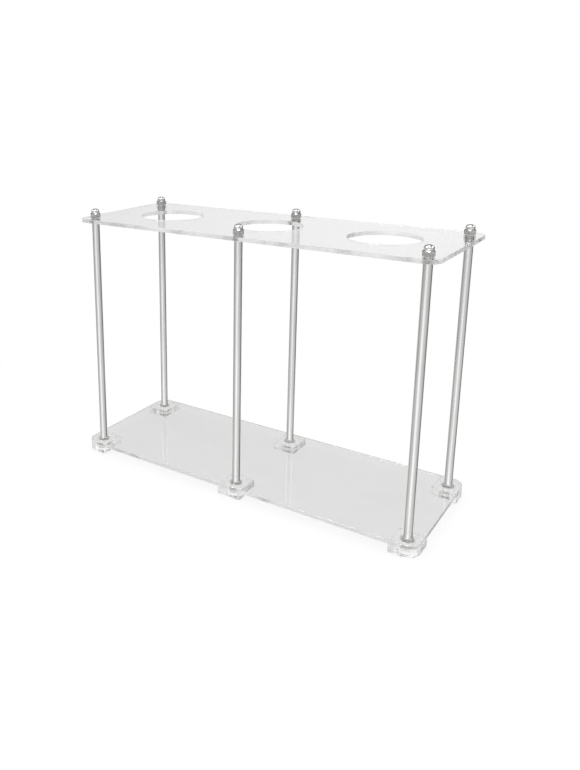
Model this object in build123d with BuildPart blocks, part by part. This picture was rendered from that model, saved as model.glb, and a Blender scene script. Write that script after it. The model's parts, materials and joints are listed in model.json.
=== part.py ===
from build123d import *
import math
import os

# Three-hole plastic bag holder: two clear acrylic plates held apart by six
# stainless spacer tubes. A double-ended stud runs through each tube, with a
# domed cap nut above the top plate and a washer and hex nut below the bottom
# plate, inside a clear foot pad.
# Frame: origin at the centre of the footprint on the table, +X along the
# length, -Y towards the user, +Z up. Millimetres.

os.makedirs("parts", exist_ok=True)

# running gap left between seated faces (tube ends, cap nuts, washers)
SEAT_GAP = 0.05

# plates
PLATE_LENGTH = 480.0
PLATE_WIDTH = 180.0
PLATE_THICKNESS = 5.0
PLATE_CORNER_R = 15.0
PLATE_CHAMFER = 0.4
STUD_HOLE_D = 9.0

# bag openings in the top plate
BAG_HOLE_D = 85.0
BAG_HOLE_PITCH = 150.0
BAG_HOLE_CHAMFER = 0.3

# spacer tubes
TUBE_OD = 10.0
TUBE_ID = 8.4
TUBE_LENGTH = 312.9
TUBE_END_CHAMFER = 0.3

# studs, M8, with the thread drawn as separate rings
THREAD_MAJOR_R = 3.95
THREAD_MINOR_R = 3.35
THREAD_PITCH = 1.25
THREAD_CREST = (0.44, 0.56)  # start and end of the flat crest, in pitches
THREAD_TURNS_LOW = 16
THREAD_TURNS_HIGH = 13
STUD_SHANK_R = 3.55
STUD_SHANK_TAPER = 0.3       # height of the taper from thread to shank
STUD_TIP_HEIGHT = 0.6        # tapered tip at each end
STUD_TIP_INSET = 0.5
STUD_BELOW_NUT = 0.9
STUD_REACH_IN_CAP = 8.6

# hexagons and tapped bores, shared by both kinds of nut
HEX_AF = 13.0
HEX_CORNER_R = HEX_AF / 2 / math.cos(math.pi / 6)
HEX_ENVELOPE_R = HEX_CORNER_R + 0.5  # turned envelope, clear of the corners
HEX_SEAT_R = HEX_AF / 2 - 0.15       # where a seating face's chamfer starts
HEX_SEAT_ANGLE = 30.0
TAP_R = 4.05
TAP_LEAD_IN = 0.4

# cap nuts
CAP_HEIGHT = 11.95
CAP_HEX_HEIGHT = 6.2
CAP_SHOULDER_R = 5.6       # where the hexagon's top chamfer starts
CAP_SHOULDER_ANGLE = 35.0
CAP_BORE_DEPTH = 9.6
CAP_BORE_TAPER_HEIGHT = 1.2  # tapered blind end of the bore
CAP_BORE_TAPER_INSET = 1.6
DOME_R = 5.5
DOME_SIDE_ROUND_R = 3.2    # round at the side of the dome
DOME_CROWN_R = 8.5         # flatter round over its top
DOME_OVERLAP = 0.5         # depth the dome is sunk into the hexagon
DOME_NECK_HEIGHT = 0.45
DOME_NECK_INSET = 0.3      # also the height of the flare to full radius

# base nuts and washers
BASE_NUT_HEIGHT = 6.5
WASHER_OD = 15.0
WASHER_ID = 8.4
WASHER_THICKNESS = 1.6
WASHER_CHAMFER = 0.2

# foot pads
FOOT_LENGTH = 32.0         # along X
FOOT_WIDTH = 36.0          # along Y
FOOT_THICKNESS = 10.0
FOOT_BOND_GAP = 0.05       # bond line between foot pad and plate
FOOT_POCKET_D = 18.0
FOOT_BOTTOM_CHAMFER = 0.4
FOOT_UPRIGHT_CHAMFER = 0.3

# levels
Z_PLATE_LOW = FOOT_THICKNESS
Z_TUBE = Z_PLATE_LOW + PLATE_THICKNESS + SEAT_GAP
Z_PLATE_HIGH = Z_TUBE + TUBE_LENGTH + SEAT_GAP
Z_CAP = Z_PLATE_HIGH + PLATE_THICKNESS + SEAT_GAP
Z_WASHER = Z_PLATE_LOW - SEAT_GAP - WASHER_THICKNESS
Z_NUT = Z_WASHER - BASE_NUT_HEIGHT
Z_STUD_LOW = Z_NUT - STUD_BELOW_NUT
Z_STUD_HIGH = Z_CAP + STUD_REACH_IN_CAP

# posts: x, y, then how far the cap nut and the base nut happen to be turned
# when tight, in degrees
POST_X = 224.0
POST_Y = 72.0
POSTS = {
    "front_left": (-POST_X, -POST_Y, 11.0, 24.0),
    "front_middle": (0.0, -POST_Y, 2.0, 8.0),
    "front_right": (POST_X, -POST_Y, -12.0, -4.0),
    "back_left": (-POST_X, POST_Y, 20.0, 15.0),
    "back_middle": (0.0, POST_Y, -7.0, 27.0),
    "back_right": (POST_X, POST_Y, -18.0, 5.0),
}
POST_POINTS = [(x, y) for x, y, _, _ in POSTS.values()]
BAG_POINTS = [(i * BAG_HOLE_PITCH, 0.0) for i in (-1, 0, 1)]


# ------------------------------------------------------------------ helpers
def save(part, name):
    part.label = name
    export_step(part, f"parts/{name}.step")


def profile_plane(x, y):
    """Upright plane through a post: local x is the radius, local y is Z."""
    return Plane((x, y, 0), x_dir=(1, 0, 0), z_dir=(0, -1, 0))


def post_axis(x, y):
    return Axis((x, y, 0), (0, 0, 1))


def rims(builder, diameter):
    """Circular edges of the given diameter."""
    return builder.edges().filter_by(GeomType.CIRCLE).filter_by(
        lambda e: abs(e.radius - diameter / 2) < 0.01
    )


def arc_point(centre_r, centre_z, radius, angle):
    """Profile point on an arc, at an angle in radians up from horizontal."""
    return (centre_r + radius * math.cos(angle), centre_z + radius * math.sin(angle))


def thread_side(z_low, turns):
    """Profile points (radius, z) of a ring thread rising from z_low."""
    points = [(THREAD_MINOR_R, z_low)]
    for i in range(turns):
        z = z_low + i * THREAD_PITCH
        points += [(THREAD_MAJOR_R, z + part * THREAD_PITCH) for part in THREAD_CREST]
        points.append((THREAD_MINOR_R, z + THREAD_PITCH))
    return points


def hex_envelope(z_low, z_high, top_r=HEX_SEAT_R, top_angle=HEX_SEAT_ANGLE):
    """Profile (radius, z) that, once revolved, chamfers a hexagon's corners."""
    rise = (HEX_ENVELOPE_R - HEX_SEAT_R) * math.tan(math.radians(HEX_SEAT_ANGLE))
    fall = (HEX_ENVELOPE_R - top_r) * math.tan(math.radians(top_angle))
    return [
        (0, z_low),
        (HEX_SEAT_R, z_low),
        (HEX_ENVELOPE_R, z_low + rise),
        (HEX_ENVELOPE_R, z_high - fall),
        (top_r, z_high),
        (0, z_high),
    ]


# ------------------------------------------------------------------- plates
def make_plate(z_low, bag_holes):
    with BuildPart() as plate:
        with BuildSketch(Plane.XY.offset(z_low)):
            RectangleRounded(PLATE_LENGTH, PLATE_WIDTH, PLATE_CORNER_R)
            if bag_holes:
                with Locations(*BAG_POINTS):
                    Circle(BAG_HOLE_D / 2, mode=Mode.SUBTRACT)
            with Locations(*POST_POINTS):
                Circle(STUD_HOLE_D / 2, mode=Mode.SUBTRACT)
        extrude(amount=PLATE_THICKNESS)
        chamfer(plate.faces().sort_by(Axis.Z)[0].outer_wire().edges(), PLATE_CHAMFER)
        chamfer(plate.faces().sort_by(Axis.Z)[-1].outer_wire().edges(), PLATE_CHAMFER)
        if bag_holes:
            chamfer(rims(plate, BAG_HOLE_D), BAG_HOLE_CHAMFER)
    return plate.part


# -------------------------------------------------------- tubes and washers
def make_ring(x, y, z_low, outer_d, inner_d, height, edge_chamfer):
    """Tube or washer, chamfered on both outer rims."""
    with BuildPart() as ring:
        with BuildSketch(Plane((x, y, z_low))):
            Circle(outer_d / 2)
            Circle(inner_d / 2, mode=Mode.SUBTRACT)
        extrude(amount=height)
        chamfer(rims(ring, outer_d), edge_chamfer)
    return ring.part


# -------------------------------------------------------------------- studs
def make_stud(x, y):
    """Threaded at both ends, plain shank between."""
    tip_r = THREAD_MINOR_R - STUD_TIP_INSET
    high_start = Z_STUD_HIGH - STUD_TIP_HEIGHT - THREAD_TURNS_HIGH * THREAD_PITCH
    low = thread_side(Z_STUD_LOW + STUD_TIP_HEIGHT, THREAD_TURNS_LOW)
    high = thread_side(high_start, THREAD_TURNS_HIGH)
    with BuildPart() as stud:
        with BuildSketch(profile_plane(x, y)):
            with BuildLine():
                Polyline(
                    (0, Z_STUD_LOW),
                    (tip_r, Z_STUD_LOW),
                    *low,
                    (STUD_SHANK_R, low[-1][1] + STUD_SHANK_TAPER),
                    (STUD_SHANK_R, high[0][1] - STUD_SHANK_TAPER),
                    *high,
                    (tip_r, Z_STUD_HIGH),
                    (0, Z_STUD_HIGH),
                    close=True,
                )
            make_face()
        revolve(axis=post_axis(x, y))
    return stud.part


# ----------------------------------------------------------------- cap nuts
def make_cap_nut(x, y, turn):
    """Chamfered hexagon, dome and blind tapped bore."""
    hex_top = Z_CAP + CAP_HEX_HEIGHT
    bore_top = Z_CAP + CAP_BORE_DEPTH

    # dome levels, and the point where the side round meets the crown
    crown = Z_CAP + CAP_HEIGHT
    base = hex_top - DOME_OVERLAP
    neck = hex_top + DOME_NECK_HEIGHT
    neck_r = DOME_R - DOME_NECK_INSET
    side_r = DOME_R - DOME_SIDE_ROUND_R
    crown_z = crown - DOME_CROWN_R
    side_z = crown_z + math.sqrt((DOME_CROWN_R - DOME_SIDE_ROUND_R) ** 2 - side_r**2)
    lean = math.atan2(side_z - crown_z, side_r)
    meet = arc_point(0, crown_z, DOME_CROWN_R, lean)
    side_mid = arc_point(side_r, side_z, DOME_SIDE_ROUND_R, lean / 2)
    crown_mid = arc_point(0, crown_z, DOME_CROWN_R, (lean + math.pi / 2) / 2)

    with BuildPart() as cap_nut:
        with BuildSketch(Plane((x, y, Z_CAP))):
            RegularPolygon(HEX_CORNER_R, 6, rotation=turn)
        extrude(amount=CAP_HEX_HEIGHT)
        # corner chamfers: small underneath, deeper on top
        with BuildSketch(profile_plane(x, y)):
            with BuildLine():
                Polyline(
                    *hex_envelope(Z_CAP, hex_top, CAP_SHOULDER_R, CAP_SHOULDER_ANGLE),
                    close=True,
                )
            make_face()
        revolve(axis=post_axis(x, y), mode=Mode.INTERSECT)
        # dome: a short neck, upright sides, a tight round and a flatter crown
        with BuildSketch(profile_plane(x, y)):
            with BuildLine():
                Polyline(
                    (0, base),
                    (neck_r, base),
                    (neck_r, neck - DOME_NECK_INSET),
                    (DOME_R, neck),
                    (DOME_R, side_z),
                )
                ThreePointArc((DOME_R, side_z), side_mid, meet)
                ThreePointArc(meet, crown_mid, (0, crown))
                Line((0, crown), (0, base))
            make_face()
        revolve(axis=post_axis(x, y))
        # tapped bore with a lead-in
        with BuildSketch(profile_plane(x, y)):
            with BuildLine():
                Polyline(
                    (0, Z_CAP),
                    (TAP_R + TAP_LEAD_IN, Z_CAP),
                    (TAP_R, Z_CAP + TAP_LEAD_IN),
                    (TAP_R, bore_top - CAP_BORE_TAPER_HEIGHT),
                    (TAP_R - CAP_BORE_TAPER_INSET, bore_top),
                    (0, bore_top),
                    close=True,
                )
            make_face()
        revolve(axis=post_axis(x, y), mode=Mode.SUBTRACT)
    return cap_nut.part


# ---------------------------------------------------------------- base nuts
def make_base_nut(x, y, turn):
    """Hex nut, chamfered both sides, in the pocket of the foot pad."""
    with BuildPart() as base_nut:
        with BuildSketch(Plane((x, y, Z_NUT))):
            RegularPolygon(HEX_CORNER_R, 6, rotation=turn)
        extrude(amount=BASE_NUT_HEIGHT)
        with BuildSketch(profile_plane(x, y)):
            with BuildLine():
                Polyline(*hex_envelope(Z_NUT, Z_WASHER), close=True)
            make_face()
        revolve(axis=post_axis(x, y), mode=Mode.INTERSECT)
        # tapped bore, right through, with a lead-in at each end
        with BuildSketch(profile_plane(x, y)):
            with BuildLine():
                Polyline(
                    (0, Z_NUT),
                    (TAP_R + TAP_LEAD_IN, Z_NUT),
                    (TAP_R, Z_NUT + TAP_LEAD_IN),
                    (TAP_R, Z_WASHER - TAP_LEAD_IN),
                    (TAP_R + TAP_LEAD_IN, Z_WASHER),
                    (0, Z_WASHER),
                    close=True,
                )
            make_face()
        revolve(axis=post_axis(x, y), mode=Mode.SUBTRACT)
    return base_nut.part


# ---------------------------------------------------------------- foot pads
def make_foot(x, y):
    """Pad flush with the plate's edges, with a pocket right through for the
    nut and washer. Corner pads are rounded like the plate's corners."""
    side_x = math.copysign(1, x)
    side_y = math.copysign(1, y)
    is_corner = x != 0
    pad_x = side_x * (PLATE_LENGTH - FOOT_LENGTH) / 2 if is_corner else 0.0
    pad_y = side_y * (PLATE_WIDTH - FOOT_WIDTH) / 2

    def outwardness(edge):
        return side_x * edge.center().X + side_y * edge.center().Y

    with BuildPart() as foot:
        with BuildSketch(Plane((pad_x, pad_y, 0))):
            Rectangle(FOOT_LENGTH, FOOT_WIDTH)
        extrude(amount=FOOT_THICKNESS - FOOT_BOND_GAP)
        uprights = foot.edges().filter_by(Axis.Z).sort_by(outwardness)
        if is_corner:
            fillet(uprights[-1], PLATE_CORNER_R)
            # leave out the two edges where the fillet meets the sides
            uprights = foot.edges().filter_by(Axis.Z).sort_by(outwardness)[:-2]
        chamfer(uprights, FOOT_UPRIGHT_CHAMFER)
        chamfer(foot.faces().sort_by(Axis.Z)[0].outer_wire().edges(), FOOT_BOTTOM_CHAMFER)
        with BuildSketch(Plane((x, y, 0))):
            Circle(FOOT_POCKET_D / 2)
        extrude(amount=FOOT_THICKNESS, mode=Mode.SUBTRACT)
    return foot.part


# ------------------------------------------------------------ build and save
save(make_plate(Z_PLATE_HIGH, bag_holes=True), "top_plate")
save(make_plate(Z_PLATE_LOW, bag_holes=False), "bottom_plate")

for position, (x, y, cap_turn, base_turn) in POSTS.items():
    tube = make_ring(x, y, Z_TUBE, TUBE_OD, TUBE_ID, TUBE_LENGTH, TUBE_END_CHAMFER)
    washer = make_ring(
        x, y, Z_WASHER, WASHER_OD, WASHER_ID, WASHER_THICKNESS, WASHER_CHAMFER
    )
    save(tube, f"post_tube_{position}")
    save(make_stud(x, y), f"tie_stud_{position}")
    save(make_cap_nut(x, y, cap_turn), f"cap_nut_{position}")
    save(washer, f"base_washer_{position}")
    save(make_base_nut(x, y, base_turn), f"base_nut_{position}")
    save(make_foot(x, y), f"foot_{position}")
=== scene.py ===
"""Looks, light and camera for the clear acrylic bag holder."""

import json
import math

import bpy
from mathutils import Matrix, Vector


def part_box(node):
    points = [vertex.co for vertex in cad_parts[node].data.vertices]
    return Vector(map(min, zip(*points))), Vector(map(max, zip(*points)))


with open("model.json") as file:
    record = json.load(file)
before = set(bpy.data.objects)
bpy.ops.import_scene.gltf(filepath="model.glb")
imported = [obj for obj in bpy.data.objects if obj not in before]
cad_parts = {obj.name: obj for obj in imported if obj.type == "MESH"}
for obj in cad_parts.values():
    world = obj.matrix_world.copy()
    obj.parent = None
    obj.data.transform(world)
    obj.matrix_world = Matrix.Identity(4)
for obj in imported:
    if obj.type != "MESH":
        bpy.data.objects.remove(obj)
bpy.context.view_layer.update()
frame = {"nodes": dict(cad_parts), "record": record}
nodes = frame["nodes"]
scene = bpy.context.scene

# ------------------------------------------------------------------ measures
top_lo, top_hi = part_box("top_plate")
low_lo, low_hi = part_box("bottom_plate")
foot_lo, foot_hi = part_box("foot_front_right")
mid_lo, mid_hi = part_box("foot_front_middle")
post_lo, post_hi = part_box("post_tube_front_right")
cap_lo, cap_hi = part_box("cap_nut_front_right")
HEX_TOP = cap_lo.z + 0.0062
CORNER_FOOT_X = foot_lo.x
MIDDLE_FOOT_X = mid_hi.x
FOOT_Y = -foot_hi.y
POST_X = (post_lo.x + post_hi.x) / 2
POST_Y = -(post_lo.y + post_hi.y) / 2
POCKET_R = 0.009


# ------------------------------------------------------------- node helpers
class Tree:
    """A short way to write node graphs."""

    def __init__(self, nt):
        self.nt = nt
        nt.nodes.clear()

    def new(self, kind, **props):
        n = self.nt.nodes.new(kind)
        for k, v in props.items():
            setattr(n, k, v)
        return n

    def link(self, a, b):
        self.nt.links.new(a, b)

    def put(self, socket, value):
        if hasattr(value, "is_output"):
            self.link(value, socket)
        else:
            socket.default_value = value

    def math(self, op, a, b=0.0, c=0.0, clamp=False):
        n = self.new("ShaderNodeMath", operation=op, use_clamp=clamp)
        for i, v in enumerate((a, b, c)):
            if i < len(n.inputs):
                self.put(n.inputs[i], v)
        return n.outputs[0]

    def vmath(self, op, a, b=(0, 0, 0)):
        n = self.new("ShaderNodeVectorMath", operation=op)
        self.put(n.inputs[0], a)
        self.put(n.inputs[1], b)
        return n.outputs["Value"] if op in ("DOT_PRODUCT", "LENGTH") else n.outputs[0]

    def step(self, v, lo, hi, out_lo=0.0, out_hi=1.0):
        n = self.new("ShaderNodeMapRange", interpolation_type="SMOOTHSTEP")
        self.put(n.inputs["Value"], v)
        n.inputs["From Min"].default_value = lo
        n.inputs["From Max"].default_value = hi
        n.inputs["To Min"].default_value = out_lo
        n.inputs["To Max"].default_value = out_hi
        return n.outputs["Result"]

    def mix(self, f, a, b):
        n = self.new("ShaderNodeMix", data_type="FLOAT")
        self.put(n.inputs["Factor"], f)
        self.put(n.inputs["A"], a)
        self.put(n.inputs["B"], b)
        return n.outputs["Result"]

    def mixc(self, f, a, b, blend="MIX"):
        n = self.new("ShaderNodeMix", data_type="RGBA", blend_type=blend)
        self.put(n.inputs[0], f)
        self.put(n.inputs[6], a)
        self.put(n.inputs[7], b)
        return n.outputs[2]

    def ramp(self, v, stops, interpolation="EASE"):
        n = self.new("ShaderNodeValToRGB")
        n.color_ramp.interpolation = interpolation
        els = n.color_ramp.elements
        while len(els) < len(stops):
            els.new(0.5)
        for e, (p, c) in zip(els, stops):
            e.position = p
            e.color = (c, c, c, 1) if not hasattr(c, "__len__") else (*c, 1)
        self.put(n.inputs[0], v)
        return n.outputs["Color"]

    def noise(self, vector, scale, detail=2.0, rough=0.5, distort=0.0):
        n = self.new("ShaderNodeTexNoise")
        self.put(n.inputs["Vector"], vector)
        n.inputs["Scale"].default_value = scale
        n.inputs["Detail"].default_value = detail
        n.inputs["Roughness"].default_value = rough
        n.inputs["Distortion"].default_value = distort
        return n.outputs["Fac"]

    def stretch(self, vector, s):
        return self.vmath("MULTIPLY", vector, s)

    def bump(self, height, strength, distance, normal=None):
        n = self.new("ShaderNodeBump")
        n.inputs["Strength"].default_value = strength
        n.inputs["Distance"].default_value = distance
        self.put(n.inputs["Height"], height)
        if normal is not None:
            self.put(n.inputs["Normal"], normal)
        return n.outputs["Normal"]


def material(name):
    m = bpy.data.materials.new(name)
    m.use_nodes = True
    t = Tree(m.node_tree)
    out = t.new("ShaderNodeOutputMaterial")
    p = t.new("ShaderNodeBsdfPrincipled")
    t.link(p.outputs[0], out.inputs["Surface"])
    geo = t.new("ShaderNodeNewGeometry")
    return m, t, p, out, geo


def across(t, geo):
    """1 on upright faces such as cut edges and hole walls, 0 on level ones."""
    z = t.new("ShaderNodeSeparateXYZ")
    t.link(geo.outputs["Normal"], z.inputs[0])
    flat = t.math("ABSOLUTE", z.outputs["Z"])
    return t.step(flat, 0.35, 0.85, 1.0, 0.0)


# ---------------------------------------------------------------- materials
def post_r2(t, x, y):
    """Squared distance in plan from the nearest post's axis."""
    ax = t.math("ABSOLUTE", x)
    dx = t.math("MINIMUM", t.math("ABSOLUTE", t.math("SUBTRACT", ax, POST_X)), ax)
    dy = t.math("SUBTRACT", t.math("ABSOLUTE", y), POST_Y)
    return t.math("ADD", t.math("MULTIPLY", dx, dx), t.math("MULTIPLY", dy, dy))


def in_foot_plan(t, x, y):
    """1 over the six feet in plan, 0 elsewhere and over their pockets."""
    ax = t.math("ABSOLUTE", x)
    ay = t.math("ABSOLUTE", y)
    corner = t.math("GREATER_THAN", ax, CORNER_FOOT_X)
    middle = t.math("LESS_THAN", ax, MIDDLE_FOOT_X)
    row = t.math("GREATER_THAN", ay, FOOT_Y)
    plan = t.math("MULTIPLY", t.math("MAXIMUM", corner, middle), row)
    return t.math("MULTIPLY", plan, t.math("GREATER_THAN", post_r2(t, x, y), POCKET_R**2))


def acrylic(name, tint, edge_tint, absorb, edge_rough, cut, bond, patch, ior=1.49):
    """Clear cast sheet: faint wipe marks and hairline scratches on the level
    faces, fine cutter striations on the upright ones. Where a foot is glued
    on, the clear glue line neither bends nor mirrors light."""
    m, t, p, out, geo = material(name)
    pos = geo.outputs["Position"]
    xyz = t.new("ShaderNodeSeparateXYZ")
    t.link(pos, xyz.inputs[0])
    up = across(t, geo)
    glue = t.math("LESS_THAN", t.math("ABSOLUTE", t.math("SUBTRACT", xyz.outputs["Z"], bond)), 0.0001)
    glue = t.math("MULTIPLY", glue, t.math("SUBTRACT", 1.0, up))
    glue = t.math("MULTIPLY", glue, in_foot_plan(t, xyz.outputs["X"], xyz.outputs["Y"]))
    # wipe marks: long soft streaks
    wipe = t.noise(t.stretch(pos, (1.0, 3.2, 1.0)), 9.0, 3.0, 0.55, 0.6)
    film = t.step(wipe, 0.48, 0.72)
    # hairline scratches in two directions
    hair_a = t.noise(t.stretch(pos, (9.0, 900.0, 1.0)), 1.0, 0.0)
    hair_b = t.noise(t.stretch(t.vmath("ADD", pos, (0.31, 0.17, 0.0)), (620.0, 14.0, 1.0)), 1.0, 0.0)
    hair = t.math("MAXIMUM", t.step(hair_a, 0.70, 0.78), t.step(hair_b, 0.71, 0.79))
    rough_flat = t.math("ADD", t.math("MULTIPLY", film, 0.03), t.math("MULTIPLY", hair, 0.08))
    # cutter striations: tight along the edge, running through the thickness
    saw = t.noise(t.stretch(pos, (1.0, 1.0, 0.03)), 900.0, 2.0, 0.6)
    slow = t.noise(t.stretch(pos, (1.0, 1.0, 0.2)), 60.0, 2.0, 0.5)
    rough_edge = t.math("ADD", edge_rough, t.math("MULTIPLY", slow, 0.08))
    # the drilled stud holes are left as cut: whitish and matt
    bore = t.math("LESS_THAN", post_r2(t, xyz.outputs["X"], xyz.outputs["Y"]), 0.0052**2)
    rough_edge = t.mix(bore, rough_edge, 0.5)
    rough = t.mix(up, rough_flat, rough_edge)
    t.link(t.math("MULTIPLY", rough, t.math("SUBTRACT", 1.0, glue)), p.inputs["Roughness"])
    ridges = t.math("ADD", t.math("MULTIPLY", saw, 0.08), slow)
    height = t.mix(up, t.math("MULTIPLY", hair, -0.3), ridges)
    t.link(t.bump(height, cut, 0.00025), p.inputs["Normal"])
    shade = t.mixc(t.math("MULTIPLY", film, 0.5), (*tint, 1), (*[c * 0.965 for c in tint], 1))
    # the cut edge is a little lighter and darker in turns along its length
    lit = t.math("MULTIPLY", t.step(slow, 0.40, 0.60), patch)
    edge = t.mixc(lit, (*[c * (1 - 0.10 * patch) for c in edge_tint], 1), (*[min(1.0, c * 1.10) for c in edge_tint], 1))
    edge = t.mixc(bore, edge, (1, 1, 1, 1))
    shade = t.mixc(up, shade, edge)
    shade = t.mixc(glue, shade, (1, 1, 1, 1))
    t.link(shade, p.inputs["Base Color"])
    p.inputs["Transmission Weight"].default_value = 1.0
    t.link(t.mix(glue, ior, 1.0), p.inputs["IOR"])
    v = t.new("ShaderNodeVolumeAbsorption")
    v.inputs["Color"].default_value = (0.85, 0.85, 0.85, 1)
    v.inputs["Density"].default_value = absorb
    t.link(v.outputs[0], out.inputs["Volume"])
    return m


def tube_metal(name):
    """Ground and polished stainless tube: streaks along the length, a slight
    change of tone round it and a few handling marks."""
    m, t, p, out, geo = material(name)
    pos = geo.outputs["Position"]
    streak = t.noise(t.stretch(pos, (1.0, 1.0, 0.012)), 1500.0, 3.0, 0.6)
    band = t.noise(t.stretch(pos, (1.0, 1.0, 0.05)), 260.0, 2.0, 0.5)
    marks = t.step(t.noise(t.stretch(pos, (1.0, 1.0, 0.25)), 120.0, 4.0, 0.7), 0.60, 0.78)
    tone = t.math("ADD", t.math("MULTIPLY", streak, 0.5), t.math("MULTIPLY", band, 0.5))
    col = t.mixc(t.step(tone, 0.30, 0.70), (0.56, 0.56, 0.555, 1), (0.70, 0.70, 0.69, 1))
    col = t.mixc(t.math("MULTIPLY", marks, 0.25), col, (0.50, 0.50, 0.50, 1))
    t.link(col, p.inputs["Base Color"])
    p.inputs["Metallic"].default_value = 1.0
    r = t.math("ADD", t.step(tone, 0.30, 0.70, 0.20, 0.31), t.math("MULTIPLY", marks, 0.08))
    t.link(r, p.inputs["Roughness"])
    t.link(t.bump(streak, 0.05, 0.0001), p.inputs["Normal"])
    return m


def nut_metal(name, split_z=None, base=(0.66, 0.66, 0.65), dome_rough=0.07, hex_rough=0.26):
    """Turned and polished nut: bright dome, duller hexagon with drawn-bar marks on its flats. Level faces are painted
    lighter and upright faces darker, a painted highlight and painted shade over the duller finish. With a split height
    this covers only the hexagon's upright faces, otherwise all upright faces at half strength."""
    m, t, p, out, geo = material(name)
    pos = geo.outputs["Position"]
    z = t.new("ShaderNodeSeparateXYZ")
    t.link(pos, z.inputs[0])
    fine = t.noise(t.stretch(pos, (1.0, 1.0, 0.15)), 1800.0, 2.0, 0.6)
    blotch = t.noise(pos, 320.0, 3.0, 0.6)
    up = across(t, geo)
    # mask of upright faces: rougher finish there, and painted shade in the colour below
    if split_z is None:
        dull_and_shaded = t.math("MULTIPLY", up, 0.5)
    else:
        dull_and_shaded = t.math("MULTIPLY", t.step(z.outputs["Z"], split_z - 0.0002, split_z + 0.0003, 1.0, 0.0), up)
    r = t.mix(dull_and_shaded, dome_rough, hex_rough)
    r = t.math("ADD", r, t.math("MULTIPLY", t.math("SUBTRACT", blotch, 0.5), 0.12))
    t.link(t.math("MAXIMUM", r, 0.03), p.inputs["Roughness"])
    # painted highlight and painted shade: the lighter colour on level faces, the darker one on the upright faces the
    # mask picks
    dark = [c * 0.8 for c in base]
    col = t.mixc(dull_and_shaded, (*[min(1.0, c * 1.16) for c in base], 1), (*dark, 1))
    col = t.mixc(t.step(fine, 0.35, 0.75, 0.0, 0.35), col, (*[c * 0.8 for c in base], 1))
    t.link(col, p.inputs["Base Color"])
    p.inputs["Metallic"].default_value = 1.0
    t.link(t.bump(fine, 0.06, 0.00005), p.inputs["Normal"])
    return m


def thread_metal(name):
    """Rolled thread: matt steel, lightly oiled."""
    m, t, p, out, geo = material(name)
    pos = geo.outputs["Position"]
    blotch = t.noise(pos, 260.0, 3.0, 0.6)
    turn = t.noise(t.stretch(pos, (0.2, 0.2, 1.0)), 2400.0, 2.0, 0.5)
    col = t.mixc(t.step(blotch, 0.3, 0.7), (0.74, 0.74, 0.74, 1), (0.86, 0.86, 0.85, 1))
    t.link(col, p.inputs["Base Color"])
    p.inputs["Metallic"].default_value = 1.0
    t.link(t.step(turn, 0.2, 0.8, 0.24, 0.36), p.inputs["Roughness"])
    t.link(t.bump(turn, 0.08, 0.00005), p.inputs["Normal"])
    return m


TOP = acrylic("clear_sheet", (0.820, 0.820, 0.818), (0.79, 0.79, 0.788), 2.0, 0.27, 0.03, low_lo.z, 0.8)
BASE = acrylic("clear_base", (0.825, 0.825, 0.823), (0.77, 0.77, 0.768), 2.0, 0.28, 0.04, low_lo.z, 0.4)
FOOT = acrylic("clear_block", (0.85, 0.85, 0.848), (0.98, 0.98, 0.978), 1.0, 0.18, 0.03, foot_hi.z, 0.3, 1.36)
TUBE = tube_metal("stainless_tube")
CAP = nut_metal("polished_cap", split_z=HEX_TOP, dome_rough=0.13)
NUT = nut_metal("plain_nut", base=(0.72, 0.72, 0.71), dome_rough=0.14, hex_rough=0.20)
# the washers get a darker base than the nuts: painted shade for the dark ring round each post's foot
WASHER = nut_metal("plain_washer", base=(0.50, 0.50, 0.495), dome_rough=0.12, hex_rough=0.18)
STUD = thread_metal("rolled_stud")

BY_SLOT = {
    "plate_acrylic": TOP,
    "foot_acrylic": FOOT,
    "tube_steel": TUBE,
    "cap_nut_metal": CAP,
    "base_nut_metal": NUT,
    "washer_metal": WASHER,
    "stud_steel": STUD,
}
slot_of = {s["node"]: s["material_slot"] for s in frame["record"]["subparts"]}
for name, ob in nodes.items():
    for s in ob.material_slots:
        s.material = BASE if name == "bottom_plate" else BY_SLOT[slot_of[name]]

# -------------------------------------------------------------------- studio
BACK = Vector((0.56095, -0.78878, 0.0)).normalized()  # from the stand to the camera, level
SIDE = Vector((0.81588, 0.57819, 0.0)).normalized()   # to the camera's right, level


def studio(t, direction):
    """Brightness of the room round the stand for what mirrors it: pale walls,
    a soft window behind the camera to its left, a dark opening to its right."""
    f = t.vmath("DOT_PRODUCT", direction, tuple(BACK))
    s = t.vmath("DOT_PRODUCT", direction, tuple(SIDE))
    turn = t.math("ARCTAN2", s, f)
    u = t.math("ADD", t.math("DIVIDE", turn, 2 * math.pi), 0.5)

    def at(deg):
        return 0.5 + deg / 360.0

    return t.ramp(
        u,
        [
            (0.0, 0.85),
            (at(-165), 0.76),
            (at(-148), 0.66),
            (at(-124), 0.40),
            (at(-100), 0.62),
            (at(-60), 0.82),
            (at(-34), 1.48),
            (at(-10), 1.46),
            (at(8), 0.98),
            (at(32), 0.94),
            (at(60), 0.72),
            (at(88), 0.44),
            (at(108), 0.14),
            (at(130), 0.12),
            (at(148), 0.85),
            (1.0, 0.85),
        ],
    )


# world: plain white where it is looked at, the room where it is mirrored
world = bpy.data.worlds.new("studio")
scene.world = world
world.use_nodes = True
w = Tree(world.node_tree)
w_out = w.new("ShaderNodeOutputWorld")
bg = w.new("ShaderNodeBackground")
w.link(bg.outputs[0], w_out.inputs["Surface"])
w_tc = w.new("ShaderNodeTexCoord")
d = w_tc.outputs["Generated"]
room = studio(w, d)
dz = w.new("ShaderNodeSeparateXYZ")
w.link(d, dz.inputs[0])
high = dz.outputs["Z"]
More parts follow.
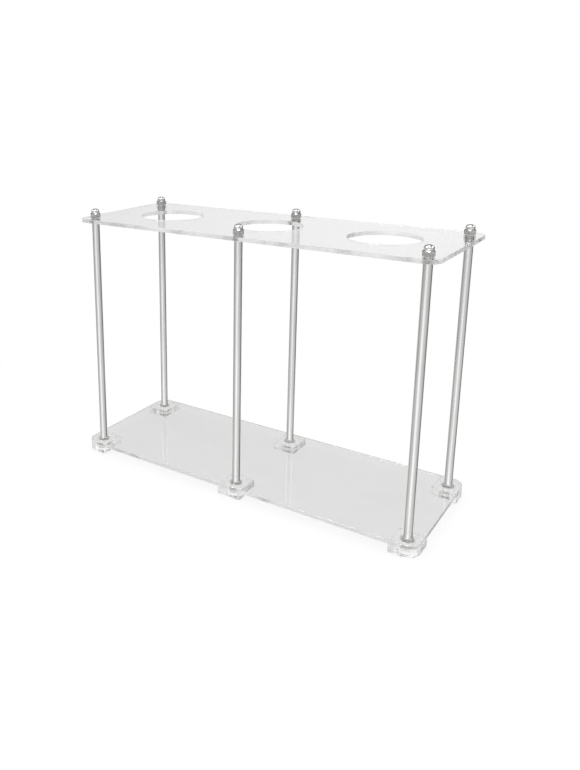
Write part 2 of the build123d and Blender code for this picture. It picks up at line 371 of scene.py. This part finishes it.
# a dim band above the far wall, and a bright ceiling
away = w.step(w.vmath("DOT_PRODUCT", d, tuple(BACK)), -0.35, 0.1, 1.0, 0.0)
band = w.math("MULTIPLY", w.step(high, 0.27, 0.35), w.step(high, 0.62, 0.85, 1.0, 0.0))
room = w.mix(w.math("MULTIPLY", band, away), room, 0.22)
# on the camera's side: a dim strip over the horizon, then three soft panels
w_f = w.vmath("DOT_PRODUCT", d, tuple(BACK))
w_s = w.vmath("DOT_PRODUCT", d, tuple(SIDE))
w_turn = w.math("ARCTAN2", w_s, w_f)
# the far wall is a little brighter to the camera's right
tilt = w.step(w_s, -0.30, 0.32, 0.84, 1.14)
room = w.math("MULTIPLY", room, w.mix(w.step(w_f, -0.8, -0.6, 1.0, 0.0), 1.0, tilt))
near = w.step(w_f, -0.45, -0.25)
room = w.mix(w.math("MULTIPLY", w.step(high, 0.05, 0.10), near), room, 0.24)
for centre, half, low_z, high_z, power in (
    (-96.0, 27.0, 0.36, 0.84, 2.2),
    (-6.0, 24.0, 0.50, 0.93, 2.4),
    (92.0, 25.0, 0.36, 0.84, 2.0),
):
    gap = w.math("ABSOLUTE", w.math("SUBTRACT", w_turn, math.radians(centre)))
    lit = w.step(gap, math.radians(half - 3), math.radians(half + 3), 1.0, 0.0)
    tier = w.math("MULTIPLY", w.step(high, low_z, low_z + 0.06), w.step(high, high_z - 0.03, high_z, 1.0, 0.0))
    room = w.mix(w.math("MULTIPLY", lit, tier), room, power)
room = w.mix(w.step(high, 0.93, 0.97), room, 1.1)
lp = w.new("ShaderNodeLightPath")
plain = w.math("SUBTRACT", 1.0, lp.outputs["Is Diffuse Ray"])
mirrored = w.math("MULTIPLY", lp.outputs["Is Reflection Ray"], plain)
through = w.math("MULTIPLY", lp.outputs["Is Transmission Ray"], plain)
share = w.math("ADD", mirrored, w.math("MULTIPLY", through, 0.05), clamp=True)
glare = w.math("ADD", 1.0, w.math("MULTIPLY", through, 0.10))
w.link(w.math("MULTIPLY", w.mix(share, 1.0, room), glare), bg.inputs["Strength"])
bg.inputs["Color"].default_value = (1, 1, 1, 1)

# floor: a pale matt sweep that turns into the white ground far from the stand
bpy.ops.mesh.primitive_circle_add(vertices=96, radius=14.0, fill_type="TRIFAN", location=(0, 0, -0.0004))
floor = bpy.context.object
floor.name = "studio_floor"
fm = bpy.data.materials.new("pale_floor")
fm.use_nodes = True
f = Tree(fm.node_tree)
f_out = f.new("ShaderNodeOutputMaterial")
f_geo = f.new("ShaderNodeNewGeometry")
f_dif = f.new("ShaderNodeBsdfDiffuse")
f_dif.inputs["Color"].default_value = (0.93, 0.93, 0.93, 1)
f_em = f.new("ShaderNodeEmission")
f_lp = f.new("ShaderNodeLightPath")
f_pos = f_geo.outputs["Position"]
f_len = f.vmath("LENGTH", f.vmath("MULTIPLY", f_pos, (1, 1, 0)))
# painted reflection: for mirror rays the floor glows with the room's brightness from the way they come, a little
# stronger near the stand
f_room = studio(f, f.vmath("MULTIPLY", f_geo.outputs["Incoming"], (-1, -1, -1)))
f_plain = f.math("SUBTRACT", 1.0, f_lp.outputs["Is Diffuse Ray"])
f_mir = f.math("MULTIPLY", f_lp.outputs["Is Reflection Ray"], f_plain)
f_thr = f.math("MULTIPLY", f_lp.outputs["Is Transmission Ray"], f_plain)
f_fade = f.step(f_len, 0.4, 1.8, 1.06, 0.90)
f.link(f.mix(f_mir, 1.0, f.math("MULTIPLY", f_room, f_fade)), f_em.inputs["Strength"])
# how much of the floor is plain white ground rather than lit and shaded
far = f.math("MAXIMUM", 0.80, f.step(f_len, 0.32, 0.62))
glow = f.mix(f_mir, far, f.math("MAXIMUM", 0.8, f.step(f_len, 0.12, 0.34)))
glow = f.mix(f_thr, glow, 0.90)
f_mix = f.new("ShaderNodeMixShader")
f.link(glow, f_mix.inputs[0])
f.link(f_dif.outputs[0], f_mix.inputs[1])
f.link(f_em.outputs[0], f_mix.inputs[2])
# one-sided, so that the stand can be looked at from below
f_clear = f.new("ShaderNodeBsdfTransparent")
f_side = f.new("ShaderNodeMixShader")
f.link(f_geo.outputs["Backfacing"], f_side.inputs[0])
f.link(f_mix.outputs[0], f_side.inputs[1])
f.link(f_clear.outputs[0], f_side.inputs[2])
f.link(f_side.outputs[0], f_out.inputs["Surface"])
floor.data.materials.append(fm)


# a card just over the base that only mirror rays from above meet, so that the
# posts' lower ends mirror the same room as the rest of them
bpy.ops.mesh.primitive_plane_add(size=1.0, location=(0, 0, low_hi.z + 0.0002))
card = bpy.context.object
card.name = "base_card"
card.scale = (low_hi.x - low_lo.x - 0.004, low_hi.y - low_lo.y - 0.004, 1.0)
cm = bpy.data.materials.new("base_card")
cm.use_nodes = True
c = Tree(cm.node_tree)
c_out = c.new("ShaderNodeOutputMaterial")
c_geo = c.new("ShaderNodeNewGeometry")
c_em = c.new("ShaderNodeEmission")
c_room = studio(c, c.vmath("MULTIPLY", c_geo.outputs["Incoming"], (-1, -1, -1)))
c.link(c.math("MULTIPLY", c_room, 1.08), c_em.inputs["Strength"])
c_clear = c.new("ShaderNodeBsdfTransparent")
c_mix = c.new("ShaderNodeMixShader")
c.link(c_geo.outputs["Backfacing"], c_mix.inputs[0])
c.link(c_em.outputs[0], c_mix.inputs[1])
c.link(c_clear.outputs[0], c_mix.inputs[2])
c.link(c_mix.outputs[0], c_out.inputs["Surface"])
card.data.materials.append(cm)
for ray in ("visible_camera", "visible_diffuse", "visible_transmission", "visible_volume_scatter", "visible_shadow"):
    setattr(card, ray, False)


def soft_box(name, where, size, power):
    lamp = bpy.data.lights.new(name, "AREA")
    lamp.shape = "RECTANGLE"
    lamp.size, lamp.size_y = size
    lamp.energy = power
    ob = bpy.data.objects.new(name, lamp)
    scene.collection.objects.link(ob)
    ob.location = where
    aim = Vector((0, 0, 0.15)) - Vector(where)
    ob.rotation_euler = aim.to_track_quat("-Z", "Y").to_euler()
    ob.visible_camera = False
    return ob


soft_box("key", BACK * 0.9 - SIDE * 1.1 + Vector((0, 0, 1.5)), (0.8, 0.5), 6.0)
soft_box("fill", BACK * 0.9 + SIDE * 1.2 + Vector((0, 0, 1.2)), (0.6, 0.5), 3.0)
soft_box("top", Vector((0, 0, 1.9)), (1.0, 0.7), 4.0)

# -------------------------------------------------------------------- camera
cam_data = bpy.data.cameras.new("camera")
cam = bpy.data.objects.new("camera", cam_data)
scene.collection.objects.link(cam)
scene.camera = cam
EYE = Vector((0.45968, -0.81470, 0.49133))
fwd = Vector((-0.56094726, 0.78877704, -0.25133434)).normalized()
right = Vector((0.81587588, 0.57819208, -0.00636087))
right = (right - fwd * right.dot(fwd)).normalized()
up = right.cross(fwd)
cam.matrix_world = Matrix.Translation(EYE) @ Matrix(
    ((right.x, up.x, -fwd.x, 0), (right.y, up.y, -fwd.y, 0), (right.z, up.z, -fwd.z, 0), (0, 0, 0, 1))
)
cam_data.sensor_width = 36.0
cam_data.lens = 755.97 * 36.0 / 770.0
cam_data.clip_start, cam_data.clip_end = 0.01, 60.0
# the picture's centre is off the lens axis, but only from this place; twenty
# readings of the camera's x are summed so that the step's keys are far enough apart
READINGS = 20
for prop, value in (("shift_x", (290 - 191.07) / 770.0), ("shift_y", (290.61 - 385) / 770.0)):
    curve = cam_data.driver_add(prop)
    for mod in list(curve.modifiers):
        curve.modifiers.remove(mod)
    for off, level in ((-0.002, 0.0), (-0.001, value), (0.001, value), (0.002, 0.0)):
        key = curve.keyframe_points.insert(READINGS * (EYE.x + off), level)
        key.interpolation = "LINEAR"
    curve.extrapolation = "CONSTANT"
    curve.driver.type = "SUM"
    for n in range(READINGS):
        var = curve.driver.variables.new()
        var.type = "TRANSFORMS"
        var.targets[0].id = cam
        var.targets[0].transform_type = "LOC_X"
        var.targets[0].transform_space = "WORLD_SPACE"

# ------------------------------------------------------------------- picture
scene.view_settings.view_transform = "Standard"
scene.view_settings.look = "None"
scene.view_settings.exposure = 0.0
scene.cycles.use_denoising = True
scene.cycles.max_bounces = 128
scene.cycles.transmission_bounces = 120
scene.cycles.glossy_bounces = 120
scene.cycles.diffuse_bounces = 4
